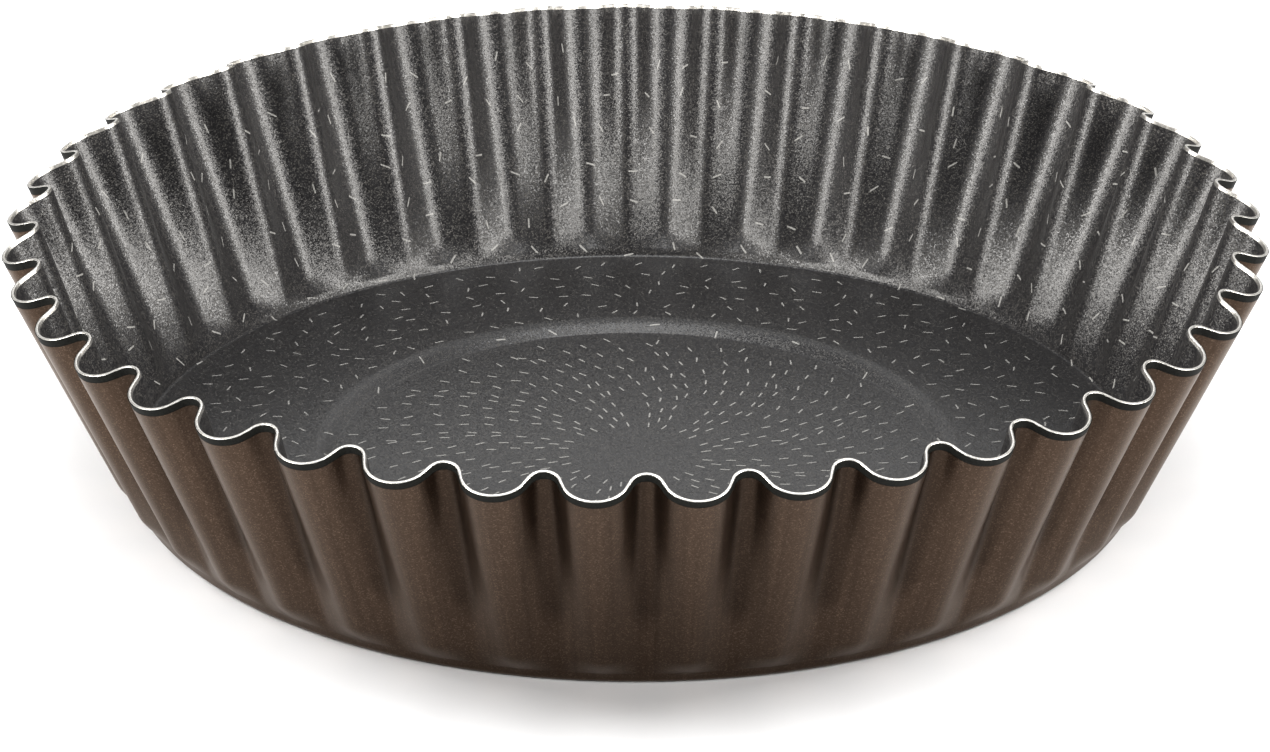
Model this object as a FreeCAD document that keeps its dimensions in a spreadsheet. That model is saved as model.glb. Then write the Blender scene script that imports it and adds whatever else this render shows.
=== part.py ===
"""Deep fluted tart pan, pressed from one round blank of aluminium and coated on both faces.

Five bonded layers lie face to face:
    aluminium_shell      the pressed sheet, bare at its trimmed rim and at a lip inside it
    nonstick_lining      the coating on the cooking face
    outer_lacquer        the coating on the outside, up the wall and in to the standing disc
    base_lacquer         the same coating under the disc that the pan stands on
    rim_primer_band      the strip of primer left bare between the lacquer and the rim

Millimetres. The origin is at the centre of the underside, and +Z points up out of the pan.
Each layer lies between two faces. A face is named by its depth, which is measured square to
the sheet, from the cooking face towards the outside.
"""

import FreeCAD, Part
import math
import os
import Sketcher

SIZES = {
    "fluteCount": 40,
    "rimRadius": 134.05,        # cooking face, at the outward tip of a flute
    "rimHeight": 52.95,         # cooking face, at the outward tip of a flute
    "rimFall": 23.2,            # degrees that the trimmed edge falls outwards
    "fluteDepth": 8.4,          # radial, at the height of the rim's creases
    "fluteTurn": 5.52,          # degrees by which the flutes are turned about the axis
    "lobeRounding": 6.3,        # outward arc of a flute on the cooking face, at the rim
    "lobeLow": 5.0,             # the same, at the junction
    "creaseRounding": 3.95,     # inward arc of a flute on the cooking face, at the rim
    "creaseLow": 4.5,           # the same, at the junction
    "junctionHeight": 2.5,      # where the round floor hands over to the fluted wall
    "toeRise": 4.5,             # height over which a flute's tip swells out above the junction
    "toeRadius": 109.7,         # where the line of the tips would meet the foot's level
    "footRadius": 108.2,        # where the line of the creases meets the foot's level
    "footRounding": 0.8,
    "floorFall": 2.80,          # degrees that the outer floor falls from the step to the foot
    "discRadius": 64.7,
    "stepSlope": 30.0,          # degrees
    "stepHeight": 2.0,
    "stepRounding": 0.8,
    "shoulderRounding": 6.0,
    "sheetThickness": 0.6,
    "liningThickness": 0.2,
    "lacquerThickness": 0.2,
    "baseCoatRadius": 60.0,     # the standing disc's coat, a little smaller than the disc
    "primerWidth": 1.8,         # measured down the slope of the wall
    "lipWidth": 0.8,            # bare metal above the lining, measured down the slope
}

# Worked out in the sheet from the sizes above. The cooking face in section runs over the disc,
# up the step to the crown, down the outer floor to the foot, and up the line of the creases.
# A crease stands higher at the rim than a tip, because the trimmed edge falls outwards.
DERIVED = {
    "discLevel": "liningThickness + sheetThickness + lacquerThickness",
    "crownLevel": "discLevel + stepHeight",
    "crownRadius": "discRadius + stepHeight / tan(stepSlope)",
    "footLevel": "crownLevel - (footRadius - crownRadius) * tan(floorFall)",
    "tipFlare": "(rimRadius - toeRadius) / (rimHeight - footLevel)",
    "creaseHeight": "rimHeight + fluteDepth * tan(rimFall) / (1 + tan(rimFall) * tipFlare)",
    "creaseTop": "rimRadius + (creaseHeight - rimHeight) * tipFlare - fluteDepth",
    "creaseFlare": "(creaseTop - footRadius) / (creaseHeight - footLevel)",
    "wallSlope": "atan(1 / creaseFlare) / 1 deg",
    "trimApex": "rimHeight + rimRadius * tan(rimFall)",
}

# Shares of the wall's height at which a ring of flutes is drawn. They crowd together where the
# tips swell out at the toe. The last one stands above the rim, so that the trimming cone leaves
# a clean edge.
RING_STATIONS = (0.0, 0.015, 0.035, 0.06, 0.085, 0.2, 0.4, 0.6, 0.8, 1.0, 1.08)
# The lowest ring is a circle. These shares of half a flute are where its flank begins and ends.
LOWEST_FLANK = (0.12, 0.88)

# Depths of the four faces.
COOKING_FACE = "0"
SHEET_INSIDE = "(Sizes.liningThickness)"
SHEET_OUTSIDE = "(Sizes.liningThickness + Sizes.sheetThickness)"
OUTSIDE = "(Sizes.discLevel)"

SECTION_CORNERS = (
    ("Sizes.discRadius", "Sizes.discLevel"),
    ("Sizes.crownRadius", "Sizes.crownLevel"),
    ("Sizes.footRadius", "Sizes.footLevel"),
)
SECTION_SLOPES = ("0", "Sizes.stepSlope", "(-Sizes.floorFall)", "Sizes.wallSlope")


def make_sheet(doc):
    """The spreadsheet of driving dimensions and what follows from them, one row each."""
    sheet = doc.addObject("Spreadsheet::Sheet", "Sizes")
    cells = {alias: str(value) for alias, value in SIZES.items()}
    cells.update({alias: "=" + formula for alias, formula in DERIVED.items()})
    for row, (alias, content) in enumerate(cells.items(), start=1):
        sheet.set(f"A{row}", alias)
        sheet.set(f"B{row}", content)
        sheet.setAlias(f"B{row}", alias)
    doc.recompute()
    return sheet


def value_of(sheet, expression):
    return float(sheet.evalExpression(expression))


def bind(item, **expressions):
    """Bind an object's properties to expressions of the sheet."""
    for name, expression in expressions.items():
        item.setExpression(name, expression)


# The floor: a section with rounded corners, turned about the axis.

def section_points(depth):
    """The section's corners on the face at a depth, as expressions of radius and height.

    A corner moves along the bisector of its two lines, so that each line moves square to
    itself by the depth.
    """
    points = []
    for number, (radius, height) in enumerate(SECTION_CORNERS):
        before, after = SECTION_SLOPES[number:number + 2]
        middle = f"(({before} + {after}) / 2)"
        stretch = f"cos(({after} - {before}) / 2)"
        points.append((
            f"{radius} + {depth} * sin{middle} / {stretch}",
            f"{height} - {depth} * cos{middle} / {stretch}",
        ))
    run = "(Sizes.junctionHeight - Sizes.footLevel) * Sizes.creaseFlare"
    shift = f"{depth} / sin(Sizes.wallSlope)"
    points.append((f"Sizes.footRadius + {run} + {shift}", "Sizes.junctionHeight"))
    return points


def section_roundings(depth):
    """Radii of the three rounded corners on the face at a depth, about shared centres."""
    return (
        f"Sizes.stepRounding + {depth}",
        f"Sizes.shoulderRounding - {depth}",
        f"Sizes.footRounding + {depth}",
    )


def constrain(sketch, expression, kind, *targets):
    """Add a dimension to a sketch, bound to an expression of the sheet."""
    start = value_of(sketch.Document.Sizes, expression)
    index = sketch.addConstraint(Sketcher.Constraint(kind, *targets, start))
    sketch.setExpression(f"Constraints[{index}]", expression)


def draw_face(sketch, depth):
    """Draw one face's section from the axis to the junction; returns its first and last line."""
    sheet = sketch.Document.Sizes
    points = section_points(depth)
    roundings = section_roundings(depth)
    corners = [FreeCAD.Vector(value_of(sheet, x), value_of(sheet, y), 0) for x, y in points]
    radii = [value_of(sheet, rounding) for rounding in roundings]
    path = [FreeCAD.Vector(0, corners[0].y, 0)] + corners

    # Where each rounding begins and ends.
    starts, ends, arcs = [path[0]], [], []
    for number, radius in enumerate(radii, start=1):
        back = (path[number - 1] - path[number]).normalize()
        ahead = (path[number + 1] - path[number]).normalize()
        half = back.getAngle(ahead) / 2
        reach = radius / math.tan(half)
        bisector = (back + ahead).normalize()
        centre = path[number] + bisector * (radius / math.sin(half))
        begin = path[number] + back * reach
        end = path[number] + ahead * reach
        turns_left = ahead.cross(back).z > 0
        arcs.append((Part.Arc(begin, centre - bisector * radius, end), turns_left))
        ends.append(begin)
        starts.append(end)
    ends.append(path[-1])

    lines = [sketch.addGeometry(Part.LineSegment(a, b)) for a, b in zip(starts, ends)]
    for number, (x, y) in enumerate(points):
        corner = sketch.addGeometry(Part.Point(corners[number]), True)
        constrain(sketch, x, "DistanceX", -1, 1, corner, 1)
        constrain(sketch, y, "DistanceY", -1, 1, corner, 1)
        if number < len(radii):
            sketch.addConstraint(Sketcher.Constraint("PointOnObject", corner, 1, lines[number]))
            sketch.addConstraint(Sketcher.Constraint("PointOnObject", corner, 1, lines[number + 1]))
        else:
            sketch.addConstraint(Sketcher.Constraint("Coincident", lines[-1], 2, corner, 1))
    sketch.addConstraint(Sketcher.Constraint("PointOnObject", lines[0], 1, -2))
    sketch.addConstraint(Sketcher.Constraint("Horizontal", lines[0]))
    for number, (arc, turns_left) in enumerate(arcs):
        bend = sketch.addGeometry(arc)
        # A sketch's arcs run anticlockwise, so a right-hand bend is met at its far end.
        first, last = (1, 2) if turns_left else (2, 1)
        sketch.addConstraint(Sketcher.Constraint("Tangent", lines[number], 2, bend, first))
        sketch.addConstraint(Sketcher.Constraint("Tangent", bend, last, lines[number + 1], 1))
        constrain(sketch, roundings[number], "Radius", bend)
    return lines[0], lines[-1]


def make_floor(doc, name, upper, lower):
    """The part of a layer below the junction, as a body turned from one sketch."""
    body = doc.addObject("PartDesign::Body", name + "Floor")
    sketch = body.newObject("Sketcher::SketchObject", name + "Section")
    planes = {feature.Role: feature for feature in body.Origin.OriginFeatures}
    sketch.AttachmentSupport = (planes["XZ_Plane"], [""])
    sketch.MapMode = "FlatFace"
    upper_first, upper_last = draw_face(sketch, upper)
    lower_first, lower_last = draw_face(sketch, lower)
    for first, last, end in ((lower_first, upper_first, 1), (lower_last, upper_last, 2)):
        tip = sketch.getPoint(first, end)
        closing = sketch.addGeometry(Part.LineSegment(tip, sketch.getPoint(last, end)))
        sketch.addConstraint(Sketcher.Constraint("Coincident", closing, 1, first, end))
        sketch.addConstraint(Sketcher.Constraint("Coincident", closing, 2, last, end))
    turned = body.newObject("PartDesign::Revolution", name + "Turned")
    turned.Profile = sketch
    turned.ReferenceAxis = (sketch, ["V_Axis"])
    turned.Angle = 360
    doc.recompute()
    return body


# The fluted wall: rings of arcs joined by straight flanks, lofted.

def polar(radius, angle, height=0.0):
    return FreeCAD.Vector(radius * math.cos(angle), radius * math.sin(angle), height)


def flute_half(sheet, share, depth):
    """Half a flute, from its tip on the X axis to its crease, on the face at a depth.

    Returns the height, and the points of the tip, both ends of the flank, and the crease. The
    flank is the straight line that touches the outward arc and the inward one.
    """
    size = {alias: value_of(sheet, "Sizes." + alias) for alias in (*SIZES, *DERIVED)}
    wall_rise = size["creaseHeight"] - size["junctionHeight"]
    height = size["junctionHeight"] + share * wall_rise
    climb = height - size["footLevel"]
    half_pitch = math.pi / size["fluteCount"]
    shift = value_of(sheet, depth) / math.sin(math.radians(size["wallSlope"]))
    crease = size["footRadius"] + climb * size["creaseFlare"]
    if share == 0:
        radius = crease + shift
        flank = [polar(radius, half_pitch * part) for part in LOWEST_FLANK]
        return height, polar(radius, 0), *flank, polar(radius, half_pitch)

    full_depth = size["toeRadius"] + climb * size["tipFlare"] - crease
    toe = min(share * wall_rise / size["toeRise"], 1)
    tip = crease + full_depth * (1 - (1 - toe) ** 2)
    outward = size["lobeLow"] + share * (size["lobeRounding"] - size["lobeLow"])
    inward = size["creaseLow"] + share * (size["creaseRounding"] - size["creaseLow"])
    lobe_centre = polar(tip - outward, 0)
    crease_centre = polar(crease + inward, half_pitch)
    apart = crease_centre - lobe_centre
    lean = math.atan2(apart.y, apart.x) - math.acos((outward + inward) / apart.Length)
    square = polar(1, lean)
    begin = lobe_centre + square * (outward + shift)
    end = crease_centre - square * (inward - shift)
    return height, polar(tip + shift, 0), begin, end, polar(crease + shift, half_pitch)


def flute_ring(sheet, share, depth):
    """One closed ring of flutes at a share of the wall's height, on the face at a depth."""
    height, tip, begin, end, bottom = flute_half(sheet, share, depth)
    count = int(value_of(sheet, "Sizes.fluteCount"))
    pitch = 2 * math.pi / count
    start = math.radians(value_of(sheet, "Sizes.fluteTurn"))

    def place(point, middle, side):
        return polar(math.hypot(point.x, point.y), middle + side * math.atan2(point.y, point.x), height)

    def join(first, last):
        """A flank: a straight line, or a piece of the circle that is the lowest ring."""
        if share > 0:
            return Part.LineSegment(first, last).toShape()
        between = (first + last) / 2 - FreeCAD.Vector(0, 0, height)
        on_circle = between.normalize() * tip.Length + FreeCAD.Vector(0, 0, height)
        return Part.Arc(first, on_circle, last).toShape()

    edges = []
    for number in range(count):
        middle = start + pitch * number
        lobe = [place(begin, middle, -1), place(tip, middle, 1), place(begin, middle, 1)]
        crease = [place(end, middle, 1), place(bottom, middle, 1), place(end, middle + pitch, -1)]
        edges.append(Part.Arc(*lobe).toShape())
        edges.append(join(lobe[2], crease[0]))
        edges.append(Part.Arc(*crease).toShape())
        edges.append(join(crease[2], place(begin, middle + pitch, -1)))
    return Part.Wire(edges)


def make_plug(doc, name, depth):
    """The solid inside one face of the wall, lofted through its rings."""
    rings = []
    for number, share in enumerate(RING_STATIONS):
        ring = doc.addObject("Part::Feature", f"{name}Ring{number}")
        ring.Shape = flute_ring(doc.Sizes, share, depth)
        rings.append(ring)
    plug = doc.addObject("Part::Loft", name)
    plug.Sections = rings
    plug.Solid = True
    plug.Ruled = False
    return plug


# The layers.

def make_trim(doc, name, drop):
    """A cone that keeps what lies under the trimmed edge, lowered down the wall by a drop."""
    cone = doc.addObject("Part::Cone", name)
    apex = f"(Sizes.trimApex - {drop} / cos(Sizes.rimFall))"
    bind(cone, Height=apex, Radius1=f"{apex} / tan(Sizes.rimFall)")
    cone.Radius2 = 0
    return cone


def combine(doc, kind, name, base, tool):
    result = doc.addObject(kind, name)
    result.Base = base
    result.Tool = tool
    return result


def make_layer(doc, name, upper, lower, outer_plug, inner_plug):
    """A whole layer before it is trimmed: its floor and its fluted wall."""
    floor = make_floor(doc, name, upper, lower)
    wall = combine(doc, "Part::Cut", name + "Wall", outer_plug, inner_plug)
    return combine(doc, "Part::Fuse", name + "Pressing", floor, wall)


def make_pan(doc):
    """Build every layer; returns the finished objects, which carry the names of the nodes."""
    make_sheet(doc)
    cooking = make_plug(doc, "CookingPlug", COOKING_FACE)
    inside = make_plug(doc, "SheetInsidePlug", SHEET_INSIDE)
    outside = make_plug(doc, "SheetOutsidePlug", SHEET_OUTSIDE)
    whole = make_plug(doc, "OutsidePlug", OUTSIDE)
    rim = make_trim(doc, "RimTrim", "0")
    primer = make_trim(doc, "PrimerTrim", "Sizes.primerWidth")
    lip = make_trim(doc, "LipTrim", "Sizes.lipWidth")
    disc = doc.addObject("Part::Cylinder", "base_lacquer")
    bind(disc, Radius="Sizes.baseCoatRadius", Height="Sizes.lacquerThickness")

    lining = make_layer(doc, "Lining", COOKING_FACE, SHEET_INSIDE, inside, cooking)
    sheet = make_layer(doc, "Sheet", SHEET_INSIDE, SHEET_OUTSIDE, outside, inside)
    coat = make_layer(doc, "Coat", SHEET_OUTSIDE, OUTSIDE, whole, outside)
    coat_trimmed = combine(doc, "Part::Common", "CoatTrimmed", coat, rim)
    coat_below = combine(doc, "Part::Common", "CoatBelowPrimer", coat, primer)

    nodes = [
        combine(doc, "Part::Common", "aluminium_shell", sheet, rim),
        combine(doc, "Part::Common", "nonstick_lining", lining, lip),
        combine(doc, "Part::Cut", "outer_lacquer", coat_below, disc),
        disc,
        combine(doc, "Part::Cut", "rim_primer_band", coat_trimmed, primer),
    ]
    doc.recompute()
    return nodes


def check_document(doc, nodes):
    for item in doc.Objects:
        if "Invalid" in item.State or "Error" in item.State:
            raise RuntimeError(f"{item.Name} failed: {item.State}")
    for node in nodes:
        shape = node.Shape
        if shape.isNull() or not shape.isValid() or len(shape.Solids) != 1:
            raise RuntimeError(f"{node.Label} is not one valid solid")
        print(node.Label, round(shape.Volume, 1), "mm3", shape.BoundBox)


def write_parts(nodes):
    os.makedirs("parts", exist_ok=True)
    for node in nodes:
        node.Shape.exportStep(f"parts/{node.Label}.step")


document = FreeCAD.newDocument("TartPan")
pan_nodes = make_pan(document)
check_document(document, pan_nodes)
write_parts(pan_nodes)
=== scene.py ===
"""A deep fluted tart pan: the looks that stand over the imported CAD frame.

Metres, in the frame of the part: the origin is at the centre of the underside and +Z points up
out of the pan. The faces of the sheet are worked out here from the same few driving dimensions
as the part, on a much finer grid, so that gloss runs smoothly along the flutes.
"""

import math

import bpy
import numpy as np
from mathutils import Euler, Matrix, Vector


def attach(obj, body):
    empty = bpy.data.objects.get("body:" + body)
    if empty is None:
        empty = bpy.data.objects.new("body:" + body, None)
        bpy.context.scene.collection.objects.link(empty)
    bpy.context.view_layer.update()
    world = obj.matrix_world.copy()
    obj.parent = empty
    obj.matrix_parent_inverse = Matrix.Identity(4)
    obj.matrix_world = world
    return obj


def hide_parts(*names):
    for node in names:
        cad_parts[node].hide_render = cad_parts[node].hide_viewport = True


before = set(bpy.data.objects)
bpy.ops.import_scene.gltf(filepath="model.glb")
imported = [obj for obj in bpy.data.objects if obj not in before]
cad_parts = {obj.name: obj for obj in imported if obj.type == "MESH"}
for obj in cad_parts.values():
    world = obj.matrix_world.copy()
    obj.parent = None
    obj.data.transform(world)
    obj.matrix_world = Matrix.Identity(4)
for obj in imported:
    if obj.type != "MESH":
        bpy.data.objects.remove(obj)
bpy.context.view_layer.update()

MM = 0.001

# Driving dimensions, in millimetres and degrees, as in the part.
FLUTES = 40
RIM_RADIUS = 134.05         # cooking face, at an outward tip
RIM_HEIGHT = 52.95
RIM_FALL = math.radians(23.2)
FLUTE_DEPTH = 8.4
FLUTE_TURN = math.radians(5.52)
LOBE_ROUNDING = 6.3
LOBE_LOW = 5.0
CREASE_ROUNDING = 3.95
CREASE_LOW = 4.5
JUNCTION_HEIGHT = 2.5
TOE_RISE = 4.5
TOE_RADIUS = 109.7
FOOT_RADIUS = 108.2
FOOT_ROUNDING = 0.8
FLOOR_FALL = math.radians(2.80)
DISC_RADIUS = 64.7
STEP_SLOPE = math.radians(30)
STEP_HEIGHT = 2.0
STEP_ROUNDING = 0.8
SHOULDER_ROUNDING = 6.0
LINING = 0.2
SHEET = 0.6
LACQUER = 0.2
PRIMER_WIDTH = 1.8
BARE_LIP = 0.8

DISC_LEVEL = LINING + SHEET + LACQUER
CROWN_LEVEL = DISC_LEVEL + STEP_HEIGHT
CROWN_RADIUS = DISC_RADIUS + STEP_HEIGHT / math.tan(STEP_SLOPE)
FOOT_LEVEL = CROWN_LEVEL - (FOOT_RADIUS - CROWN_RADIUS) * math.tan(FLOOR_FALL)
TIP_FLARE = (RIM_RADIUS - TOE_RADIUS) / (RIM_HEIGHT - FOOT_LEVEL)
CREASE_HEIGHT = RIM_HEIGHT + FLUTE_DEPTH * math.tan(RIM_FALL) / (1 + math.tan(RIM_FALL) * TIP_FLARE)
CREASE_TOP = RIM_RADIUS + (CREASE_HEIGHT - RIM_HEIGHT) * TIP_FLARE - FLUTE_DEPTH
CREASE_FLARE = (CREASE_TOP - FOOT_RADIUS) / (CREASE_HEIGHT - FOOT_LEVEL)
WALL_SLOPE = math.atan(1 / CREASE_FLARE)
HALF_PITCH = math.pi / FLUTES

# How finely the faces are drawn.
COLUMNS_PER_FLUTE = 28
TOE_ROWS = 12
WALL_ROWS = 34


# The shape of the flutes.

def flute_arcs(height):
    """Radii and centre distances of the two arcs at a height, and the lean of the flank."""
    climb = height - FOOT_LEVEL
    crease = FOOT_RADIUS + climb * CREASE_FLARE
    toe = np.clip((height - JUNCTION_HEIGHT) / TOE_RISE, 1e-3, 1)
    full_depth = TOE_RADIUS - FOOT_RADIUS + climb * (TIP_FLARE - CREASE_FLARE)
    tip = crease + full_depth * (1 - (1 - toe) ** 2)
    share = (height - JUNCTION_HEIGHT) / (CREASE_HEIGHT - JUNCTION_HEIGHT)
    outward = LOBE_LOW + (LOBE_ROUNDING - LOBE_LOW) * share
    inward = CREASE_LOW + (CREASE_ROUNDING - CREASE_LOW) * share
    near = tip - outward
    far = crease + inward
    away_x = far * math.cos(HALF_PITCH) - near
    away_y = far * math.sin(HALF_PITCH)
    reach = np.hypot(away_x, away_y)
    lean = np.arctan2(away_y, away_x) - np.arccos(np.minimum((outward + inward) / reach, 1))
    return outward, inward, near, far, lean


def wall_radius(angle, height, depth):
    """Radius of the fluted wall at an angle from a tip and a height, at a depth in the sheet."""
    outward, inward, near, far, lean = flute_arcs(height)
    outward = outward + depth / math.sin(WALL_SLOPE)
    inward = inward - depth / math.sin(WALL_SLOPE)
    from_tip = np.abs((angle + HALF_PITCH) % (2 * HALF_PITCH) - HALF_PITCH)
    lobe_end = np.arctan2(outward * np.sin(lean), near + outward * np.cos(lean))
    crease_start = np.arctan2(far * math.sin(HALF_PITCH) - inward * np.sin(lean),
                              far * math.cos(HALF_PITCH) - inward * np.cos(lean))
    beside = near * np.cos(from_tip)
    lobe = beside + np.sqrt(np.maximum(outward ** 2 - near ** 2 + beside ** 2, 0))
    flank = (near * np.cos(lean) + outward) / np.cos(from_tip - lean)
    opposite = far * np.cos(HALF_PITCH - from_tip)
    bottom = opposite - np.sqrt(np.maximum(inward ** 2 - far ** 2 + opposite ** 2, 0))
    return np.where(from_tip <= lobe_end, lobe, np.where(from_tip < crease_start, flank, bottom))


def edge_height(angle, depth, drop=0.0):
    """Height of the trimmed edge, or of a line a drop below it down the wall."""
    top = RIM_HEIGHT + RIM_RADIUS * math.tan(RIM_FALL) - drop / math.cos(RIM_FALL)
    height = np.full_like(angle, RIM_HEIGHT)
    # The wall's radius depends on the height in turn, so it is worked out in small steps.
    for _ in range(40):
        height = (height + top - wall_radius(angle, height, depth) * math.tan(RIM_FALL)) / 2
    return height


def column_angles():
    """Angles of the grid's columns, evenly spaced along the arcs of the rim."""
    outward, inward, near, far, lean = flute_arcs(np.array(CREASE_HEIGHT))
    bend = lean - HALF_PITCH
    lobe = int(COLUMNS_PER_FLUTE / 2 * outward * lean / (outward * lean + inward * bend)) + 1
    turns = np.linspace(0, lean, lobe + 1)
    from_tip = list(np.arctan2(outward * np.sin(turns), near + outward * np.cos(turns)))
    turns = np.linspace(bend, 0, COLUMNS_PER_FLUTE // 2 - lobe + 1)[1:]
    from_tip += list(HALF_PITCH - np.arctan2(inward * np.sin(turns), far - inward * np.cos(turns)))
    half = np.array(from_tip)
    pitch = np.concatenate([half, 2 * HALF_PITCH - half[-2:0:-1]])
    return np.concatenate([pitch + 2 * HALF_PITCH * number for number in range(FLUTES)])


ANGLES = column_angles()
# Takes points from a frame with a tip on +X to the frame of the part.
TURN = np.array([
    [math.cos(FLUTE_TURN), math.sin(FLUTE_TURN), 0],
    [-math.sin(FLUTE_TURN), math.cos(FLUTE_TURN), 0],
    [0, 0, 1],
])


# The section of the floor.

def floor_section(depth):
    """Points of radius and height from near the axis to the junction, on the face at a depth."""
    corners = [(DISC_RADIUS, DISC_LEVEL), (CROWN_RADIUS, CROWN_LEVEL), (FOOT_RADIUS, FOOT_LEVEL)]
    slopes = [0.0, STEP_SLOPE, -FLOOR_FALL, WALL_SLOPE]
    roundings = [STEP_ROUNDING + depth, SHOULDER_ROUNDING - depth, FOOT_ROUNDING + depth]
    steps = [6, 8, 14]
    points = [(radius, DISC_LEVEL - depth) for radius in (4, 12, 24, 36, 48, 56, 61)]
    for number, (radius, height) in enumerate(corners):
        before, after = slopes[number:number + 2]
        middle = (before + after) / 2
        stretch = math.cos((after - before) / 2)
        corner = np.array([
            radius + depth * math.sin(middle) / stretch,
            height - depth * math.cos(middle) / stretch,
        ])
        turn = 1 if after > before else -1
        rounding = roundings[number]
        square = np.array([-math.sin(middle), math.cos(middle)]) * turn
        centre = corner + square * rounding / stretch
        for angle in np.linspace(before, after, steps[number] + 1):
            spoke = np.array([math.sin(angle), -math.cos(angle)])
            points.append(tuple(centre + turn * rounding * spoke))
        if number == 1:
            last = points[-1]
            ahead = FOOT_RADIUS - FOOT_ROUNDING
            for share in (0.12, 0.25, 0.4, 0.55, 0.7, 0.85):
                step = (ahead - last[0]) * share
                points.append((last[0] + step, last[1] - step * math.tan(FLOOR_FALL)))
    return points


def at_polar(radius, angle, height):
    """Points at a radius, an angle and a height."""
    return np.stack([radius * np.cos(angle), radius * np.sin(angle), height], -1)


def face_rows(depth, drop):
    """Rows of points of a whole face, from near the axis up to a line below the trimmed edge."""
    rows = [at_polar(radius, ANGLES, np.full_like(ANGLES, height))
            for radius, height in floor_section(depth)]
    top = edge_height(ANGLES, depth, drop)
    toe_share = TOE_RISE / (RIM_HEIGHT - JUNCTION_HEIGHT)
    shares = [*np.linspace(0, toe_share, TOE_ROWS), *np.linspace(toe_share, 1, WALL_ROWS)[1:]]
    for share in shares:
        height = JUNCTION_HEIGHT + share * (top - JUNCTION_HEIGHT)
        rows.append(at_polar(wall_radius(ANGLES, height, depth), ANGLES, height))
    return rows


def edge_row(depth, drop):
    """One row of points along the wall, a drop below the trimmed edge."""
    height = edge_height(ANGLES, depth, drop)
    return at_polar(wall_radius(ANGLES, height, depth), ANGLES, height)


def grid_mesh(name, rows, closed_rows=False):
    """A mesh from rows of points round the axis.

    The last row is joined to the first, or else both ends are closed at the axis.
    """
    grid = np.array(rows)
    count, columns = grid.shape[:2]
    points = grid.reshape(-1, 3)
    index = np.arange(count * columns).reshape(count, columns)
    ahead = np.roll(index, -1, axis=1)
    quads = np.stack([index, ahead, np.roll(ahead, -1, axis=0), np.roll(index, -1, axis=0)], -1)
    if not closed_rows:
        quads = quads[:-1]
    faces = [tuple(face) for face in quads.reshape(-1, 4).tolist()]
    if not closed_rows:
        first = len(points)
        poles = np.array([[0, 0, grid[0, 0, 2]], [0, 0, grid[-1, 0, 2]]])
        points = np.concatenate([points, poles])
        faces += [(first, b, a) for a, b in zip(index[0].tolist(), ahead[0].tolist())]
        faces += [(first + 1, a, b) for a, b in zip(index[-1].tolist(), ahead[-1].tolist())]
    turned = points @ TURN
    mesh = bpy.data.meshes.new(name)
    mesh.from_pydata((turned * MM).tolist(), [], faces)
    mesh.shade_smooth()
    mesh.set_sharp_from_angle(angle=math.radians(38))
    mesh.update()
    return mesh


# What a light falls on, where it doesn't fall on everything.
PAN = bpy.data.collections.new("pan")
TABLE = bpy.data.collections.new("table")


def add_piece(name, mesh, material, nodes=()):
    """Make a piece of the pan, which stands for the CAD nodes named."""
    piece = bpy.data.objects.new(name, mesh)
    bpy.context.scene.collection.objects.link(piece)
    PAN.objects.link(piece)
    mesh.materials.append(material)
    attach(piece, "root")
    if nodes:
        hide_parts(*nodes)
    return piece


# Surfaces. Every pattern is worked out from the position in the part's own frame.

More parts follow.
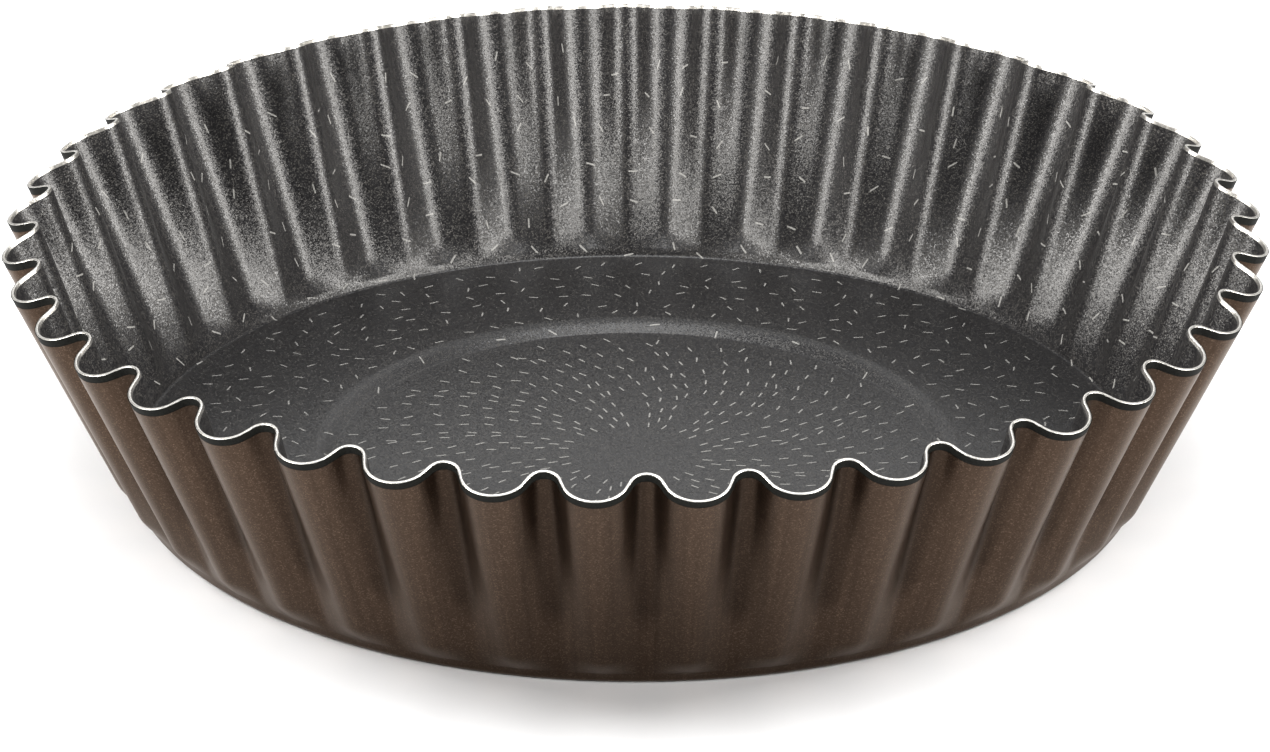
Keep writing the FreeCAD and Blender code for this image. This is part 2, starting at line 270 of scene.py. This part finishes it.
class Surface:
    """A material's node tree, with short ways to add nodes and join them."""

    def __init__(self, name):
        self.material = bpy.data.materials.new(name)
        self.material.use_nodes = True
        self.tree = self.material.node_tree
        self.shader = self.tree.nodes["Principled BSDF"]
        self.place = self.add("ShaderNodeTexCoord").outputs["Object"]

    def add(self, kind, inputs=(), **settings):
        node = self.tree.nodes.new(kind)
        for key, value in settings.items():
            setattr(node, key, value)
        for socket, value in enumerate(inputs):
            if isinstance(value, bpy.types.NodeSocket):
                self.tree.links.new(value, node.inputs[socket])
            elif value is not None:
                node.inputs[socket].default_value = value
        return node

    def math(self, operation, *inputs):
        return self.add("ShaderNodeMath", inputs, operation=operation).outputs[0]

    def noise(self, scale, detail=2.0, vector=None):
        node = self.add("ShaderNodeTexNoise", [vector or self.place])
        node.inputs["Scale"].default_value = scale
        node.inputs["Detail"].default_value = detail
        return node.outputs["Fac"]

    def cells(self, scale):
        """A colour that is the same all over each small cell, as on a face of scattered flakes."""
        node = self.add("ShaderNodeTexVoronoi", [self.place])
        node.inputs["Scale"].default_value = scale
        return node.outputs["Color"]

    def value(self, colour):
        """One number out of a colour."""
        return self.add("ShaderNodeSeparateColor", [colour]).outputs[0]

    def vector(self, operation, *inputs):
        return self.add("ShaderNodeVectorMath", inputs, operation=operation).outputs[0]

    def tilted(self, cells, amount):
        """The normal, tipped a little in a direction of its own on each flake."""
        spread = self.vector("SUBTRACT", cells, (0.5, 0.5, 0.5))
        tip = self.vector("MULTIPLY", spread, (amount, amount, amount))
        flat = self.add("ShaderNodeNewGeometry").outputs["Normal"]
        return self.vector("NORMALIZE", self.vector("ADD", flat, tip))

    def ramp(self, factor, *stops):
        node = self.add("ShaderNodeValToRGB", [factor])
        colours = node.color_ramp.elements
        while len(colours) < len(stops):
            colours.new(0.5)
        for element, (position, colour) in zip(colours, stops):
            element.position = position
            element.color = (*colour, 1) if isinstance(colour, tuple) else (colour,) * 3 + (1,)
        return node.outputs["Color"]

    def around(self, across, up):
        """Coordinates that run round the axis and up it, for marks drawn along the wall."""
        parts = self.add("ShaderNodeSeparateXYZ", [self.place]).outputs
        angle = self.math("ARCTAN2", parts["Y"], parts["X"])
        return self.add("ShaderNodeCombineXYZ", [
            self.math("MULTIPLY", angle, across), 0.0, self.math("MULTIPLY", parts["Z"], up)
        ]).outputs[0]

    def multiply(self, first, second):
        node = self.add("ShaderNodeMix", data_type="RGBA", blend_type="MULTIPLY")
        node.inputs["Factor"].default_value = 1.0
        # The node has sockets for every data type, and these are the ones for colour.
        self.tree.links.new(first, node.inputs[6])
        self.tree.links.new(second, node.inputs[7])
        return node.outputs[2]

    def bump(self, height, distance, strength, normal=None):
        node = self.add("ShaderNodeBump")
        if normal:
            self.tree.links.new(normal, node.inputs["Normal"])
        node.inputs["Distance"].default_value = distance
        node.inputs["Strength"].default_value = strength
        self.tree.links.new(height, node.inputs["Height"])
        self.tree.links.new(node.outputs[0], self.shader.inputs["Normal"])

    def drive(self, socket, value):
        self.tree.links.new(value, self.shader.inputs[socket])

    def fix(self, **values):
        for key, value in values.items():
            self.shader.inputs[key.replace("_", " ")].default_value = value


def lining_surface():
    """Charcoal non-stick coating, with a fine sparkle and faint streaks up the wall."""
    surface = Surface("satin_charcoal_lining")
    grain = surface.noise(2600, 1.5)
    cells = surface.cells(4600)
    flakes = surface.value(cells)
    clouds = surface.noise(28, 3.0)
    streaks = surface.noise(1.0, 3.0, surface.around(150, 14))
    colour = surface.ramp(flakes, (0.0, (0.005, 0.0045, 0.0055)), (0.7, (0.012, 0.0115, 0.0125)),
                          (1.0, (0.074, 0.070, 0.064)))
    shade = surface.ramp(clouds, (0.3, 0.84), (0.7, 1.0))
    surface.drive("Base Color", surface.multiply(colour, shade))
    rough = surface.math("MULTIPLY_ADD", streaks, 0.10, 0.25)
    surface.drive("Roughness", surface.math("MULTIPLY_ADD", flakes, 0.14, rough))
    surface.bump(surface.math("MULTIPLY_ADD", streaks, 0.3, grain), 0.00006, 0.6,
                 surface.tilted(cells, 0.25))
    surface.fix(Specular_IOR_Level=0.56)
    return surface.material


def lacquer_surface():
    """Brown lacquer with metal flakes in it, drawn into faint streaks up the wall, with painted
    shade in the grooves and down by the foot.
    """
    surface = Surface("metallic_brown_lacquer")
    flakes = surface.value(surface.cells(4200))
    streaks = surface.noise(1.0, 4.0, surface.around(95, 9))
    clouds = surface.noise(22, 2.0)
    colour = surface.ramp(flakes, (0.0, (0.055, 0.0360, 0.0250)), (0.8, (0.074, 0.0490, 0.0345)),
                          (1.0, (0.122, 0.084, 0.061)))
    # Painted shade: the coat's colour is darkened in the bottoms of the grooves, fully from about
    # 20 mm up and fading out towards the floor, and down by the foot, where shade falls.
    parts = surface.add("ShaderNodeSeparateXYZ", [surface.place]).outputs
    turned = surface.math("SUBTRACT", surface.math("ARCTAN2", parts["Y"], parts["X"]), FLUTE_TURN)
    tip = surface.math("COSINE", surface.math("MULTIPLY", turned, FLUTES))
    groove_shade_fade = surface.math("MAXIMUM", surface.math("MULTIPLY_ADD", parts["Z"], -50.0, 1.5), 0.5)
    # Painted groove shade: halves the colour at the bottom of each groove, and none at the tips.
    painted_groove_shade = surface.ramp(surface.math("MULTIPLY_ADD", tip, 0.5, groove_shade_fade), (0.0, 0.5), (0.35, 1.0))
    # Painted shade by the foot: the colour falls to 0.82 of itself near the table and is full again
    # about 9.5 mm up.
    painted_foot_shade = surface.ramp(surface.math("MULTIPLY", parts["Z"], 100), (0.15, 0.82), (0.95, 1.0))
    # Random streaks in the coat, multiplied by the painted shade of the grooves and of the foot.
    shade = surface.multiply(surface.ramp(streaks, (0.3, 0.75), (0.7, 1.0)),
                             surface.multiply(painted_groove_shade, painted_foot_shade))
    surface.drive("Base Color", surface.multiply(colour, shade))
    surface.drive("Roughness", surface.math("MULTIPLY_ADD", clouds, 0.12, 0.29))
    surface.bump(surface.noise(3000, 1.0), 0.00004, 0.4)
    surface.fix(Metallic=1.0, Specular_Tint=(0.97, 0.92, 0.88, 1))
    return surface.material


def edge_surface():
    """Bright cut metal, with the fine marks that the trimming left."""
    surface = Surface("cut_aluminium_edge")
    marks = surface.noise(1.0, 4.0, surface.around(900, 1500))
    pits = surface.noise(1400, 2.0)
    surface.drive("Base Color", surface.ramp(
        marks, (0.25, (0.54, 0.52, 0.48)), (0.6, (0.80, 0.78, 0.74))))
    surface.drive("Roughness", surface.math("MULTIPLY_ADD", pits, 0.25, 0.25))
    surface.bump(surface.math("ADD", marks, pits), 0.00008, 0.6)
    surface.fix(Metallic=1.0)
    return surface.material


def primer_surface():
    """Matte dark primer."""
    surface = Surface("dark_primer")
    grain = surface.noise(2600, 2.0)
    surface.drive("Base Color", surface.ramp(
        grain, (0.3, (0.003, 0.0032, 0.0027)), (0.7, (0.009, 0.0092, 0.008))))
    surface.drive("Roughness", surface.math("MULTIPLY_ADD", grain, 0.2, 0.5))
    surface.bump(grain, 0.00004, 0.4)
    surface.fix(Specular_IOR_Level=0.06)
    return surface.material


def ink_surface():
    """Thin grey ink, a little uneven."""
    surface = Surface("printed_grey_ink")
    grain = surface.noise(3000, 2.0)
    surface.drive("Base Color", surface.ramp(
        grain, (0.3, (0.17, 0.168, 0.16)), (0.7, (0.32, 0.315, 0.30))))
    surface.drive("Roughness", surface.math("MULTIPLY_ADD", grain, 0.2, 0.35))
    surface.bump(grain, 0.00003, 0.3)
    return surface.material


# The sheet and its coatings. Each face is at a depth below the cooking face.

INSIDE = LINING                     # the sheet's inner face
OUTSIDE = LINING + SHEET            # its outer face
WHOLE = OUTSIDE + LACQUER           # the lacquer's outer face
PRIMER_FACE = WHOLE - 0.04          # the primer is a little thinner than the lacquer
PRIMER_DROP = 0.12                  # from the trimmed edge down to the primer
EDGE_DROP = 0.2                     # from the trimmed edge down to where it starts to round

lining_rows = face_rows(0.0, BARE_LIP) + face_rows(INSIDE, BARE_LIP)[::-1]
add_piece("lining_surface", grid_mesh("lining_surface", lining_rows),
          lining_surface(), ["nonstick_lining"])

# Depths and drops of the lines that run along the cut edge, over its two broken corners.
edge = [(INSIDE + 0.02, 0.09), (INSIDE + 0.08, 0.03), (INSIDE + 0.2, 0.0),
        (OUTSIDE - 0.2, 0.0), (OUTSIDE - 0.08, 0.03), (OUTSIDE - 0.02, 0.09)]
sheet_rows = (face_rows(INSIDE, EDGE_DROP) + [edge_row(*at) for at in edge]
              + face_rows(OUTSIDE, EDGE_DROP)[::-1])
add_piece("pressed_sheet", grid_mesh("pressed_sheet", sheet_rows),
          edge_surface(), ["aluminium_shell"])

lacquer_rows = face_rows(OUTSIDE, PRIMER_WIDTH) + face_rows(WHOLE, PRIMER_WIDTH)[::-1]
add_piece("lacquer_surface", grid_mesh("lacquer_surface", lacquer_rows),
          lacquer_surface(), ["outer_lacquer", "base_lacquer"])

primer_rows = [edge_row(OUTSIDE, PRIMER_WIDTH), edge_row(OUTSIDE, PRIMER_DROP),
               edge_row(PRIMER_FACE, PRIMER_DROP), edge_row(PRIMER_FACE, PRIMER_WIDTH)]
add_piece("primer_strip", grid_mesh("primer_strip", primer_rows, closed_rows=True),
          primer_surface(), ["rim_primer_band"])


# The printed dashes: thin slips of ink draped over the lining.

JUNCTION_RADIUS = FOOT_RADIUS + (JUNCTION_HEIGHT - FOOT_LEVEL) * CREASE_FLARE
PROFILE = np.vstack([floor_section(0.0), (JUNCTION_RADIUS, JUNCTION_HEIGHT)])
# Distance along the section from the axis, at each of its points.
ALONG = PROFILE[0, 0] + np.append(0, np.cumsum(np.hypot(*np.diff(PROFILE, axis=0).T)))
JUNCTION_ALONG = ALONG[-1]
INK_PROUD = 0.035           # above the cooking face
INK_SUNK = 0.06             # and below it, so that no gap shows


def lay(angle, along, depth):
    """Points on the face at a depth, at an angle and a distance along the section."""
    last = (JUNCTION_RADIUS + depth / math.sin(WALL_SLOPE), JUNCTION_HEIGHT)
    profile = np.vstack([floor_section(depth), last])
    height = JUNCTION_HEIGHT + (along - JUNCTION_ALONG) * math.sin(WALL_SLOPE)
    on_wall = along > JUNCTION_ALONG
    climb = np.maximum(height, JUNCTION_HEIGHT)
    radius = np.where(on_wall, wall_radius(angle, climb, depth),
                      np.interp(along, ALONG, profile[:, 0]))
    height = np.where(on_wall, height, np.interp(along, ALONG, profile[:, 1]))
    return at_polar(radius, angle, height)


def dash_mesh(name, angles, alongs, leans, length, width):
    """Slips of ink, each leaning from the section's line by an angle."""
    step = 1e-4
    across = lay(angles + step, alongs, 0.0) - lay(angles - step, alongs, 0.0)
    metric = np.linalg.norm(across, axis=1) / (2 * step)
    ends = np.array([-1, -0.85, -0.3, 0.3, 0.85, 1]) * length / 2
    sides = np.array([0.55, 1, 1, 1, 1, 0.55]) * width / 2
    run = np.stack([ends, ends], -1)[None]
    side = np.stack([-sides, sides], -1)[None]
    cos, sin = np.cos(leans)[:, None, None], np.sin(leans)[:, None, None]
    along = alongs[:, None, None] + run * cos - side * sin
    angle = angles[:, None, None] + (run * sin + side * cos) / metric[:, None, None]
    count = len(angles)
    top = lay(angle, along, -INK_PROUD).reshape(count, -1, 3)
    bottom = lay(angle, along, INK_SUNK).reshape(count, -1, 3)
    points = np.concatenate([top, bottom], 1)
    size = points.shape[1]
    half = size // 2
    faces = []
    for number in range(len(ends) - 1):
        a, b, c, d = 2 * number, 2 * number + 1, 2 * number + 3, 2 * number + 2
        faces += [(a, d, c, b), (a + half, b + half, c + half, d + half),
                  (a, a + half, d + half, d), (b, c, c + half, b + half)]
    faces += [(0, 1, 1 + half, half), (half - 2, size - 2, size - 1, half - 1)]
    faces = (np.array(faces)[None] + size * np.arange(count)[:, None, None]).reshape(-1, 4)
    mesh = bpy.data.meshes.new(name)
    turned = points.reshape(-1, 3) @ TURN
    mesh.from_pydata((turned * MM).tolist(), [], faces.tolist())
    mesh.update()
    return mesh


# The swirl on the disc: twelve groups of five arms, the last two of which start further out.
GROUPS = 12
ARM_STARTS = (15.6, 18.4, 15.6, 35.4, 32.6)
ARM_TURN = 6.6              # degrees from one arm of a group to the next
ARM_STEP = 5.3              # from one dash of an arm to the next
SWIRL_START = 15.0
SWIRL_END = 62.0
CURL = 0.40                 # degrees to a millimetre, where the arms start
MORE_CURL = 0.003           # added to that for each millimetre further out


def swirl_dashes(random):
    """Arms of dashes that curl anticlockwise, and are looser further out."""
    rows = []
    for arm in range(GROUPS * len(ARM_STARTS)):
        group, place = divmod(arm, len(ARM_STARTS))
        start = ARM_STARTS[place] + random.uniform(-0.3, 0.3)
        for radius in np.arange(start, SWIRL_END, ARM_STEP):
            out = radius - SWIRL_START
            angle = 360 / GROUPS * group + ARM_TURN * place + CURL * out + MORE_CURL * out ** 2
            lean = math.atan(radius * math.radians(CURL + 2 * MORE_CURL * out)) * 0.8
            loose = out / 46
            rows.append((math.radians(angle + random.normal(0, 0.7 * loose)),
                         radius + random.normal(0, 0.9 * loose),
                         lean + random.normal(0, 0.08 + 0.22 * loose)))
    return rows


def scattered_dashes(random, first, last, row_pitch, pitch):
    """Rows of dashes that lie every way, from one distance along the section to another.

    The pitches are the distance between rows and the distance between dashes in a row.
    """
    rows = []
    for row, along in enumerate(np.arange(first, last, row_pitch)):
        radius = np.hypot(*lay(0.0, along, 0.0)[:2])
        count = round(2 * math.pi * radius / pitch)
        for number in range(count):
            angle = 2 * math.pi * (number + row / 2 + random.uniform(-0.28, 0.28)) / count
            rows.append((angle, along + random.uniform(-0.3, 0.3) * row_pitch,
                         random.uniform(0, math.pi)))
    return rows


DASH_LENGTH = 2.2
DASH_WIDTH = 0.36

dice = np.random.default_rng(12)
rim_along = JUNCTION_ALONG + (RIM_HEIGHT - JUNCTION_HEIGHT) / math.sin(WALL_SLOPE)
on_disc = swirl_dashes(dice)
on_step = scattered_dashes(dice, 66.5, 67.5, 5.0, 19)
on_ring = scattered_dashes(dice, 72.5, 107, 6.0, 7.0)
on_wall = scattered_dashes(dice, 110.5, rim_along - 3, 8.4, 9.6)
dashes = np.array(on_disc + on_step + on_ring + on_wall)
ink = dash_mesh("printed_dashes", *dashes.T, DASH_LENGTH, DASH_WIDTH)
add_piece("printed_dashes", ink, ink_surface())


# The floor, the light and the camera.

def add_floor():
    """The table: a sheet of plain white paper."""
    mesh = bpy.data.meshes.new("floor")
    half = 6.0
    mesh.from_pydata([(-half, -half, 0), (half, -half, 0), (half, half, 0), (-half, half, 0)],
                     [], [(0, 1, 2, 3)])
    floor = bpy.data.objects.new("floor", mesh)
    bpy.context.scene.collection.objects.link(floor)
    TABLE.objects.link(floor)
    paper = Surface("white_paper")
    paper.drive("Base Color", paper.ramp(paper.noise(40, 2.0), (0.3, 0.88), (0.7, 0.9)))
    paper.fix(Roughness=0.7)
    mesh.materials.append(paper.material)


def add_light(name, where, size, power, falls_on=None, colour=(1, 1, 1)):
    """A soft light that faces the pan, and falls on one collection or on everything."""
    light = bpy.data.lights.new(name, "AREA")
    light.color = colour
    light.shape = "RECTANGLE"
    light.size, light.size_y = size
    light.energy = power
    lamp = bpy.data.objects.new(name, light)
    lamp.location = where
    aim = Vector((0, 0, 0.03)) - Vector(where)
    lamp.rotation_euler = aim.to_track_quat("-Z", "Y").to_euler()
    bpy.context.scene.collection.objects.link(lamp)
    if falls_on:
        lamp.light_linking.receiver_collection = falls_on


add_floor()
# The side lights fall only on the pan, and the table has three lights of its own.
WARM = (1, 0.975, 0.94)
add_light("side_left", (-1.05, -0.66, 0.5), (0.62, 0.7), 30, PAN, WARM)
add_light("side_right", (1.05, -0.66, 0.5), (0.62, 0.7), 30, PAN, WARM)
add_light("back", (0, 1.5, 1.15), (2.6, 1.0), 12)
add_light("top", (0, 0, 2.0), (1.2, 1.2), 30)
add_light("table_front", (0, -2.0, 1.6), (2.2, 1.2), 45, TABLE)
add_light("table_left", (-1.6, 0.7, 0.9), (1.2, 0.8), 55, TABLE)
add_light("table_right", (1.6, 0.7, 0.9), (1.2, 0.8), 55, TABLE)

world = bpy.data.worlds.new("studio")
world.use_nodes = True
sky = world.node_tree.nodes["Background"].inputs
sky["Color"].default_value = (1, 1, 1, 1)
sky["Strength"].default_value = 0.1
bpy.context.scene.world = world
bpy.context.scene.view_settings.view_transform = "Standard"

camera_data = bpy.data.cameras.new("camera")
camera_data.sensor_width = 36
camera_data.lens = 208.67
camera_data.clip_end = 20
camera = bpy.data.objects.new("camera", camera_data)
CAMERA_TILT = math.radians(24.187)      # below the horizontal
CAMERA_ROLL = 0.0015
camera.location = (-0.000022, -1.44503, 0.66855)
camera.rotation_euler = Euler((math.pi / 2 - CAMERA_TILT, 0, 0))
camera.rotation_euler.rotate_axis("Z", CAMERA_ROLL)
bpy.context.scene.collection.objects.link(camera)
bpy.context.scene.camera = camera
